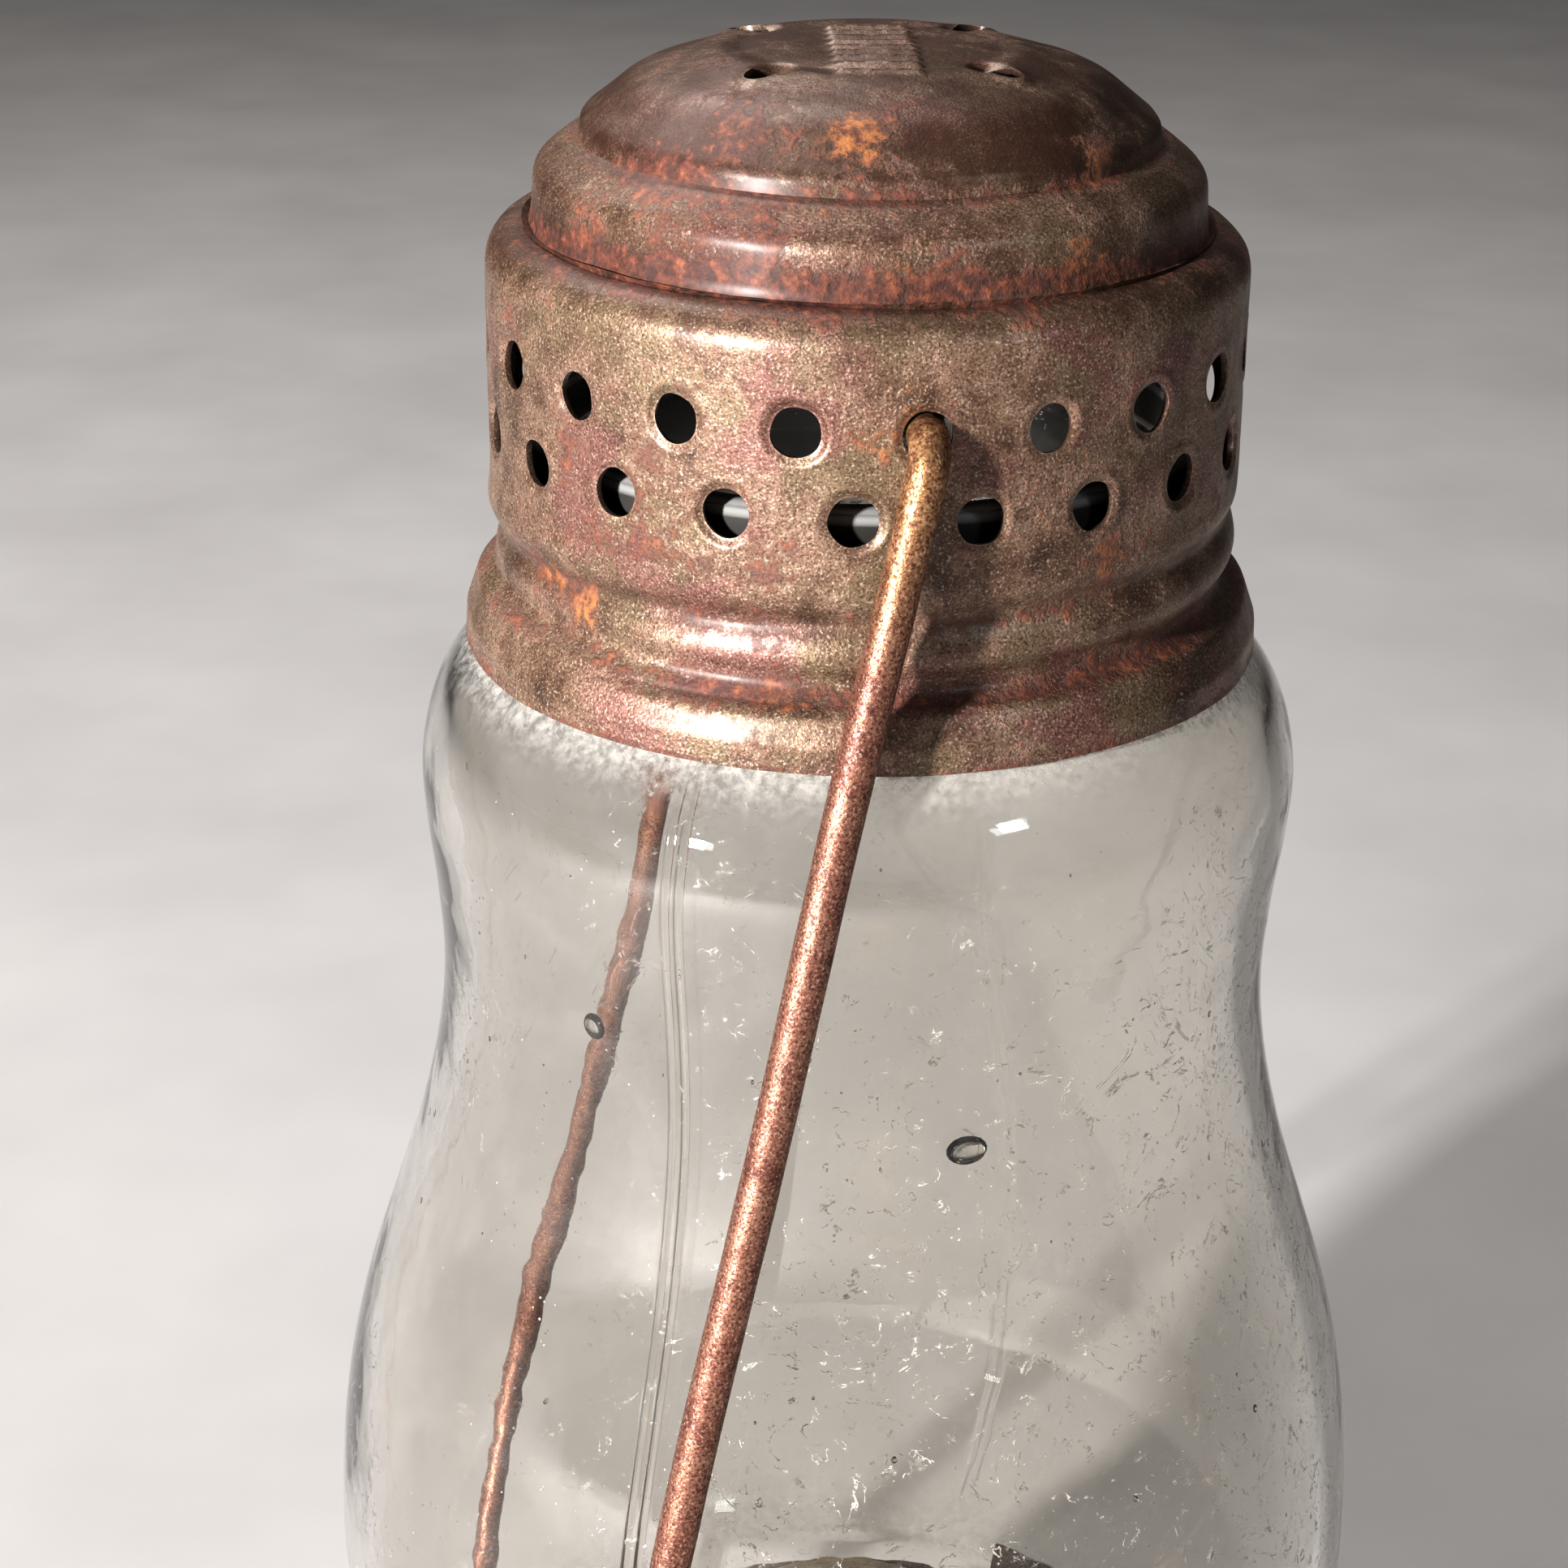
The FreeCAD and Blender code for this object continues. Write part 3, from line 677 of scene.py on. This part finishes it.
def cap_masks(sheet, path, radius, height, thread):
    """Where the outside is rusty, orange and rubbed bright, where it is darkened by painted shade,
    and what is the inside.
    """
    groove, ridge = thread
    rust = sum(strength * bell(height - at, spread) for at, spread, strength in RUST_RINGS)
    rust += 0.20 * groove
    orange = np.zeros_like(rust)
    for azimuth_deg, at, spread, strength, tone in RUST_PATCHES:
        aside = np.angle(np.exp(1j * (sheet.angle - math.radians(azimuth_deg)))) * radius
        away = np.hypot(aside, sheet.s - path.where(at))
        rust += strength * bell(away, spread)
        orange = np.maximum(orange, tone * bell(away, spread))
    # painted shade: darkens the dome's top, the shoulder ring, the top of the wall and the thread's
    # groove
    painted_shade = 0.95 * smooth_step(35.2, 37.4, height) + 0.7 * bell(height - 30.6, 1.5)
    painted_shade += 0.4 * groove + 0.3 * smooth_step(27.5, 29.5, height)
    bright = 0.5 * smooth_step(0.3, 0.0, sheet.edge) + 0.2 * ridge
    return {"rust": np.tile(rust, 2), "orange": np.tile(orange, 2),
            "painted_shade": np.tile(np.minimum(painted_shade, 1), 2),
            "bright": np.append(bright, 0 * bright),
            "inside": np.append(0 * bright, 0 * bright + 1)}


def cap_mesh():
    path = Path(rounded(CAP_OUTLINE))
    draw = random.Random(7)
    bands = cap_bands(path)
    rows = np.concatenate([np.linspace(start, end, count, endpoint=False)
                           for start, end, count in bands] + [[path.length - POLE_GAP]])
    first = np.cumsum([0] + [count for _, _, count in bands])
    cells = cap_cells(path, first, draw)
    azimuth = 2 * math.pi * np.arange(CAP_COLUMNS) / CAP_COLUMNS
    sheet = Sheet(np.tile(azimuth, len(rows)), np.repeat(rows, CAP_COLUMNS))
    taken = set().union(*(cell.inside() for cell in cells))
    faces = [face for number, face in enumerate(grid(len(rows), CAP_COLUMNS))
             if number not in taken]
    for cell in cells:
        cut_hole(cell, path, rows, sheet, faces, draw)
    pole = int(sheet.add([0.0], [path.length], [0.0], FAR)[0])
    last_row = (len(rows) - 1) * CAP_COLUMNS
    for column in range(CAP_COLUMNS):
        faces.append((last_row + column, last_row + (column + 1) % CAP_COLUMNS, pole))

    radius, height = path.at(sheet.s).T
    normal = path.normal(sheet.s)
    normal[pole] = (0, 1)
    on_wall = smooth_step(13.2, 12.6, height) * smooth_step(3.2, 4.6, height)
    thread = [depth * on_wall for depth in cap_thread(sheet.angle, height)]
    shift = cap_relief(sheet, radius, height, thread)
    points = round_axis(sheet.angle, radius, height)
    points += round_axis(sheet.angle, normal[:, 0], normal[:, 1]) * shift[:, None]
    points[:, 2] += SKIRT_Z
    points, faces = thicken(points, faces, TIN)
    return points, faces, cap_masks(sheet, path, radius, height, thread)


points, faces, masks = cap_mesh()
add_piece("cap_tin", points, faces, tin_of_cap, "cap", "tinplate_cap", "cap_shell",
          masks=masks)


# Bail

STUB_Y = 23.0                   # the end inside each hole
STUB_UP = 3.2
LEG_Y = 28.4
REACH = PIVOT_Z - 8.1           # pivot to the middle of the loop
REST = math.radians(13.4)       # lean from hanging straight
SPLAY = math.radians(8.4)       # each leg, outwards
KNOB_ROOM = 0.12                # keeps the loop clear of the knob when the cap is turned


def tube(line, radius, sides=20):
    """A round wire along a line of points, its radius given at each point, with domed ends."""
    line = np.asarray(line, float)
    run = np.gradient(line, axis=0)
    run /= np.linalg.norm(run, axis=1, keepdims=True)
    side = np.cross(run[0], (1.0, 0.0, 0.0))
    side /= np.linalg.norm(side)
    points = []
    for here, way, size in zip(line, run, radius):
        side = side - way * (side @ way)
        side /= np.linalg.norm(side)
        other = np.cross(way, side)
        for k in range(sides):
            turn = 2 * math.pi * k / sides
            points.append(here + size * (side * math.cos(turn) + other * math.sin(turn)))
    faces = grid(len(line), sides)
    for end, order in ((0, 1), (len(line) - 1, -1)):
        cap = tuple(range(end * sides, (end + 1) * sides))
        faces.append(cap[::-order])
    return np.array(points), faces


def bail_line():
    """The whole bail in its own plane, (y, down), from one end in its hole to the other."""
    sine = math.sin(SPLAY)
    cosine = math.cos(SPLAY)
    leg = (REACH * cosine - LEG_Y * (1 + sine)) / (1 + sine)
    loop_r = (LEG_Y + leg * sine) / cosine
    foot = (LEG_Y + leg * sine, leg * cosine)
    half = rounded([(STUB_Y, -STUB_UP), (STUB_Y, 0, 1.9), (LEG_Y, 0, 2.4), foot])
    loop_centre = leg * cosine + loop_r * sine
    start = math.atan2(foot[1] - loop_centre, foot[0])
    sweep = np.linspace(start, math.pi - start, 110)
    arc = np.stack([loop_r * np.cos(sweep), loop_centre + loop_r * np.sin(sweep)], -1)
    other = half[::-1] * np.array([-1, 1])
    return np.concatenate([half[:-1], arc, other[1:]])


def bail_mesh():
    path = Path(bail_line())
    s = np.arange(0, path.length, 0.7)
    flat = path.at(s)
    y, down = flat[:, 0], flat[:, 1]
    line = np.stack([-down * math.sin(REST), y, PIVOT_Z - down * math.cos(REST)], -1)
    sway = smooth_step(3, 20, down) * smooth_step(REACH, REACH - 30, down)
    line[:, 0] += 0.35 * wander(line, 32, 3) * sway
    line[:, 1] -= 0.05 * np.sign(y) * smooth_step(REACH, REACH - 40, down)
    line[:, 0] -= KNOB_ROOM * smooth_step(REACH - 30, REACH, down)
    line[:, 1] += 0.18 * wander(line, 40, 4) * sway
    size = WIRE_R - 0.03 + 0.03 * wander(line, 5, 5)
    from_end = np.minimum(s, path.length - s)
    size = size * np.sqrt(np.clip(from_end / 0.5 + 0.35, 0, 1))
    return tube(line, size)


points, faces = bail_mesh()
add_piece("bail_wire", points, faces, brown_wire, "bail", "bail_wire", "bail", sharp=60)


# Globe

GLASS = 2.2                     # thickness
GLOBE_RIM_R = 28.0
NECK_R = 24.4
GLOBE_Z = low("globe")
GLOBE_HEIGHT = high("globe") - GLOBE_Z
GLOBE_WALL = [                  # radius, height above the bottom rim
    (GLOBE_RIM_R, 4.7), (30.1, 7.7), (34.4, 12.5), (38.4, 18.7), (40.3, 26.6), (40.4, 34.1),
    (39.6, 42.4), (38.0, 50.0), (35.6, 57.6), (33.2, 65.2), (31.5, 72.8), (30.85, 79.5),
    (31.2, 86.1), (31.85, 91.8), (31.95, 96.5), (30.6, 101.3), (27.6, 105.1), (25.2, 106.5)]
SEAMS = ((-121.0, 0.26), (59.0, 0.07))     # mould seams: azimuth, height
BEAD_START = 111.0              # first bead of the neck's thread, above the bottom rim


def globe_path():
    """The outer face from the bottom rim to the lip, then the inner face down again."""
    wall = smooth_curve(GLOBE_WALL)
    outer = Path(wall)
    inner = wall - outer.normal(outer.along) * GLASS
    neck_in = NECK_R - GLASS
    inner = inner[inner[:, 1] < 104.6]
    rim_in = inner[0][0]
    lip = rounded([tuple(wall[-1]), (NECK_R, 107.4, 0.6), (NECK_R, GLOBE_HEIGHT, 0.9),
                   (neck_in, GLOBE_HEIGHT, 0.9), (neck_in, 105.6, 1.5), tuple(inner[-1])])
    rim = rounded([tuple(inner[0]), (rim_in, 0, 0.9), (GLOBE_RIM_R, 0, 0.9),
                   (GLOBE_RIM_R, 4.0)])
    return Path(np.concatenate([wall, lip[1:], inner[::-1][1:], rim[1:]]))


def globe_mesh():
    path = globe_path()
    count = int(path.length / 0.75)
    rows = np.linspace(0, path.length, count, endpoint=False)
    profile = path.at(rows)
    normal = path.normal(rows)
    azimuth = [math.radians(number * 1.25) for number in range(288)]
    for seam, _ in SEAMS:
        azimuth += [math.radians(seam + 0.14 * step) for step in range(-14, 15)]
    azimuth = np.unique(np.round(np.mod(azimuth, 2 * math.pi), 5))
    columns = len(azimuth)
    angle = np.tile(azimuth, count)
    radius, height = (np.repeat(profile[:, k], columns) for k in (0, 1))
    flat = round_axis(angle, radius, height)
    is_outer = np.repeat(np.arange(count) < count / 2, columns)
    body = smooth_step(3, 12, height) * smooth_step(106, 100, height)
    shift = np.where(is_outer, 0.10 * wander(flat, 22, 11), 0.12 * wander(flat, 24, 12))
    shift = (shift - 0.10) * body
    for seam, step in SEAMS:
        away = np.angle(np.exp(1j * (angle - math.radians(seam)))) * radius
        shift += step * (bell(away - 0.5, 0.2) + 0.8 * bell(away + 0.5, 0.2)) * body * is_outer
    turn = np.mod(np.degrees(angle), 360) / 360
    for lap in (0, 1):
        along = turn + lap
        live = smooth_step(0, 0.06, along) * (1 - smooth_step(1.55, 1.7, along))
        bead = bell(height - BEAD_START - PITCH * along, 1.0) * live
        shift += 0.75 * bead * is_outer * (height > 108.5)
    out = round_axis(angle, np.repeat(normal[:, 0], columns), np.repeat(normal[:, 1], columns))
    points = flat + out * shift[:, None]
    faces = grid(count, columns)
    top = (count - 1) * columns
    for column in range(columns):
        on = (column + 1) % columns
        faces.append((top + column, top + on, on, column))
    dust = (0.95 * bell(height - 106.5, 2.4) + 0.25 * bell(height - 4, 4)) * is_outer
    # painted shade on the outside of the neck under the cap and on the top of its lip
    neck_shade = smooth_step(107.2, 108.6, height) * smooth_step(121.3, 120.9, height)
    neck_shade = np.maximum(neck_shade, 0.8 * smooth_step(121.2, 121.6, height)) * is_outer
    right_side = 0.5 + 0.5 * np.cos(angle - math.radians(-50))
    webs = smooth_step(0.55, 0.85, right_side) * smooth_step(98, 84, height)
    webs = webs + 0.35 * smooth_step(0.0, 0.4, wander(flat, 18, 13))
    return points, faces, {"dust": dust, "webs": webs, "neck_shade": neck_shade}


def bubble(centre, half):
    """A closed hollow in the glass: an uneven egg whose faces look inwards."""
    rows, columns = 9, 16
    centre = np.array(centre, float)
    outward = np.array([centre[0], centre[1], 0]) / math.hypot(centre[0], centre[1])
    across = np.array([-outward[1], outward[0], 0])
    up = np.array([0, 0, 1.0])
    points = [centre + up * half[1]]
    for row in range(1, rows):
        tilt = math.pi * row / rows
        for column in range(columns):
            turn = 2 * math.pi * column / columns
            points.append(centre + up * half[1] * math.cos(tilt)
                          + across * half[0] * math.sin(tilt) * math.cos(turn)
                          + outward * half[2] * math.sin(tilt) * math.sin(turn))
    points.append(centre - up * half[1])
    faces = grid(rows - 1, columns, 1)
    last = len(points) - 1
    for column in range(columns):
        on = (column + 1) % columns
        faces.append((0, 1 + on, 1 + column))
        faces.append((last, last - columns + column, last - columns + on))
    return np.array(points), faces


def bubbles():
    """Seeds and one large bubble, each in the middle of the wall's thickness."""
    draw = random.Random(3)
    wall = Path(smooth_curve(GLOBE_WALL))
    found = [(-83.5, 78.0, (1.45, 1.1, 0.62)), (-134.0, 84.5, (0.9, 1.0, 0.5))]
    found += [(-108 + 5 * k, 30 + 9 * k, (0.22, 0.26, 0.2)) for k in range(4)]
    for _ in range(70):
        size = 0.08 + 0.22 * draw.random() ** 3
        found.append((draw.uniform(-180, 180), draw.uniform(12, 100),
                      (size, size * draw.uniform(1, 1.7), size)))
    made = []
    for azimuth_deg, height, half in found:
        s = float(np.interp(height, wall.points[:, 1], wall.along))
        spot = wall.at(s) - wall.normal(np.array([s]))[0] * (GLASS / 2)
        turn = math.radians(azimuth_deg)
        made.append(bubble((spot[0] * math.cos(turn), spot[0] * math.sin(turn), spot[1]), half))
    return made


def whole_globe():
    points, faces, masks = globe_mesh()
    groups = [points]
    count = len(points)
    for hollow_points, hollow_faces in bubbles():
        groups.append(hollow_points)
        faces += [tuple(corner + count for corner in face) for face in hollow_faces]
        count += len(hollow_points)
    extra = np.zeros(count - len(points))
    points = np.concatenate(groups)
    points[:, 2] += GLOBE_Z
    return points, faces, {name: np.append(mask, extra) for name, mask in masks.items()}


points, faces, masks = whole_globe()
add_piece("globe_glass", points, faces, clear_glass, "globe", "globe_glass", "globe",
          sharp=180, masks=masks)


# Soft pieces of the burner

FELT_WIDTH = 3.0
CORK_WIDTH = 2.05
RIB_EVERY = 1.1                 # ribs across the wick
PICK_EVERY = 1.4                # picks of its braid, along it


def squarish(across, along, power):
    """Factor that turns a circle into a square with rounded corners."""
    return (np.abs(across) ** power + np.abs(along) ** power) ** (-1 / power)


def soft_ring(node, width, worn, seed):
    """A flat ring of felt or cork in a node's place, its corners rounded and its faces uneven."""
    columns, sides = 300, 28
    outer = high(node, "x")
    middle = (outer - width / 2, (low(node) + high(node)) / 2)
    half = (width / 2, (high(node) - low(node)) / 2)
    turn = np.repeat(2 * math.pi * np.arange(sides) / sides, columns)
    angle = np.tile(2 * math.pi * np.arange(columns) / columns, sides)
    across, along = np.cos(turn), np.sin(turn)
    reach = squarish(across, along, 6)
    flat = round_axis(angle, middle[0] + half[0] * across, middle[1] + 3 * half[1] * along)
    inset = worn * (0.5 + 0.5 * wander(flat, 0.9, seed))
    radius = middle[0] + (half[0] - inset) * across * reach
    height = middle[1] + (half[1] - inset) * along * reach
    faces = []
    for side in range(sides):
        for column in range(columns):
            on, up = (column + 1) % columns, (side + 1) % sides
            faces.append((side * columns + column, side * columns + on,
                          up * columns + on, up * columns + column))
    return round_axis(angle, radius, height), faces


def wick_mesh():
    """A flat braided wick, ribbed along its length, its burnt end worn uneven."""
    half = (high("wick", "x"), high("wick", "y"))
    bottom, top = low("wick"), high("wick")
    columns = 120
    turn = 2 * math.pi * np.arange(columns) / columns
    across, along = np.cos(turn), np.sin(turn)
    reach = squarish(across, along, 8)
    levels = np.arange(bottom, top, 0.35)
    rows = []
    for level in [*levels, top]:
        burnt = smooth_step(top - 2.5, top, level)
        x = half[0] * across * reach
        ribs = 0.07 * (0.5 + 0.5 * np.cos(x * 2 * math.pi / RIB_EVERY))
        picks = 0.05 * (0.5 + 0.5 * np.cos(level * 2 * math.pi / PICK_EVERY + x * 5.7))
        y = (half[1] - ribs - picks - 0.25 * burnt) * along * reach
        ragged = 0.7 * burnt * (0.5 + 0.5 * np.sin(2.1 * x + 1) * np.cos(5.3 * x))
        rows.append(np.stack([(x - 0.15 * np.sign(x) * burnt), y, level - ragged], -1))
    points = np.concatenate(rows)
    faces = grid(len(rows), columns)
    burnt_end = rows[-1][:, 2].mean() - 0.2
    for start, level, way in ((0, bottom, -1), ((len(rows) - 1) * columns, burnt_end, 1)):
        middle = len(points)
        points = np.concatenate([points, [[0, 0, level]]])
        for column in range(columns):
            on = start + (column + 1) % columns
            faces.append((start + column, on, middle)[::way])
    return points, faces, {"char": smooth_step(top - 4.5, top - 1.5, points[:, 2])}


points, faces = soft_ring("globe_cushion", FELT_WIDTH, 0.09, 21)
felt_ring = add_piece("felt_ring", points, faces, pressed_felt("pressed_felt"), "burner",
                      "cushion_felt", "globe_cushion", sharp=180)
points, faces = soft_ring("collar_gasket", CORK_WIDTH, 0.06, 22)
add_piece("cork_ring", points, faces, cork("cork"), "gasket", "gasket_cork",
          "collar_gasket", sharp=180)
points, faces, masks = wick_mesh()
add_piece("braided_wick", points, faces, woven_cotton("woven_cotton"), "wick",
          "wick_cotton", "wick", sharp=60, masks=masks)


# CAD nodes that keep their shape

for node, finish in (
        ("draught_baffle", tin_of_base), ("foot_seam", tin_of_base), ("font_wall", tin_of_base),
        ("font_top", tin_of_base), ("font_bottom", tin_of_base), ("gallery", tin_of_base),
        ("gallery_prongs", tin_of_base), ("air_deck", tin_of_base), ("font_collar", brass),
        ("burner_bush", brass), ("burner_cone", brass), ("wick_tube", brass),
        ("vent_tube", brass), ("shaft_sleeve", brass), ("wick_knob", brass),
        ("shaft_bracket", brass), ("wick_shaft", steel), ("spur_wheels", steel)):
    frame["nodes"][node].data.materials.clear()
    frame["nodes"][node].data.materials.append(finish)


# Floor, lights and camera

def floor():
    """A pale floor, three metres each way."""
    reach = 3.0
    mesh = bpy.data.meshes.new("floor")
    mesh.from_pydata([(-reach, -reach, 0), (reach, -reach, 0), (reach, reach, 0),
                      (-reach, reach, 0)], [], [(0, 1, 2, 3)])
    cloth = Finish("pale_floor")
    tone = cloth.noise(60, 3)
    colour = cloth.colours(tone, (0.3, (0.44, 0.425, 0.42)), (0.7, (0.50, 0.485, 0.475)))
    mesh.materials.append(cloth.done(Base_Color=colour, Roughness=0.9))
    piece = bpy.data.objects.new("floor", mesh)
    bpy.context.scene.collection.objects.link(piece)


def area_light(name, place, size, power, colour, target=(0, 0, 0.13)):
    light = bpy.data.lights.new(name, "AREA")
    light.shape = "RECTANGLE"
    light.size, light.size_y = size
    light.energy = power
    light.color = colour
    lamp = bpy.data.objects.new(name, light)
    lamp.location = place
    way = Vector(target) - Vector(place)
    lamp.rotation_mode = "QUATERNION"
    lamp.rotation_quaternion = way.to_track_quat("-Z", "Y")
    bpy.context.scene.collection.objects.link(lamp)


def sky(strength):
    world = bpy.data.worlds.new("studio")
    world.use_nodes = True
    back = world.node_tree.nodes["Background"]
    back.inputs["Color"].default_value = (1.0, 0.95, 0.9, 1)
    back.inputs["Strength"].default_value = strength
    bpy.context.scene.world = world


def camera():
    place = Vector((-0.0339, -0.21765, 0.21874))
    target = Vector((-0.0054, 0, 0.1233))
    roll = 0.011
    lens = bpy.data.cameras.new("camera")
    lens.lens = 74.24
    lens.clip_start = 0.01
    eye = bpy.data.objects.new("camera", lens)
    eye.location = place
    eye.rotation_mode = "QUATERNION"
    eye.rotation_quaternion = ((target - place).to_track_quat("-Z", "Y")
                               @ Quaternion((0, 0, 1), roll))
    bpy.context.scene.collection.objects.link(eye)
    bpy.context.scene.camera = eye


def around(azimuth_deg, elevation_deg, distance):
    """A place in a direction from the lantern's middle."""
    turn, rise = math.radians(azimuth_deg), math.radians(elevation_deg)
    return (distance * math.cos(rise) * math.cos(turn),
            distance * math.cos(rise) * math.sin(turn), 0.13 + distance * math.sin(rise))


floor()
area_light("key", around(-139, 14, 0.85), (0.06, 0.07), 24, (0.98, 0.97, 0.97))
area_light("window", around(-55, 31, 0.8), (0.09, 0.10), 1.0, (0.85, 0.93, 1.0))
area_light("soft", around(118, 58, 0.8), (0.5, 0.5), 6.4, (1.0, 0.98, 0.96))
sky(0.06)
camera()
bpy.context.scene.view_settings.view_transform = "Standard"
bpy.context.scene.view_settings.gamma = 0.82
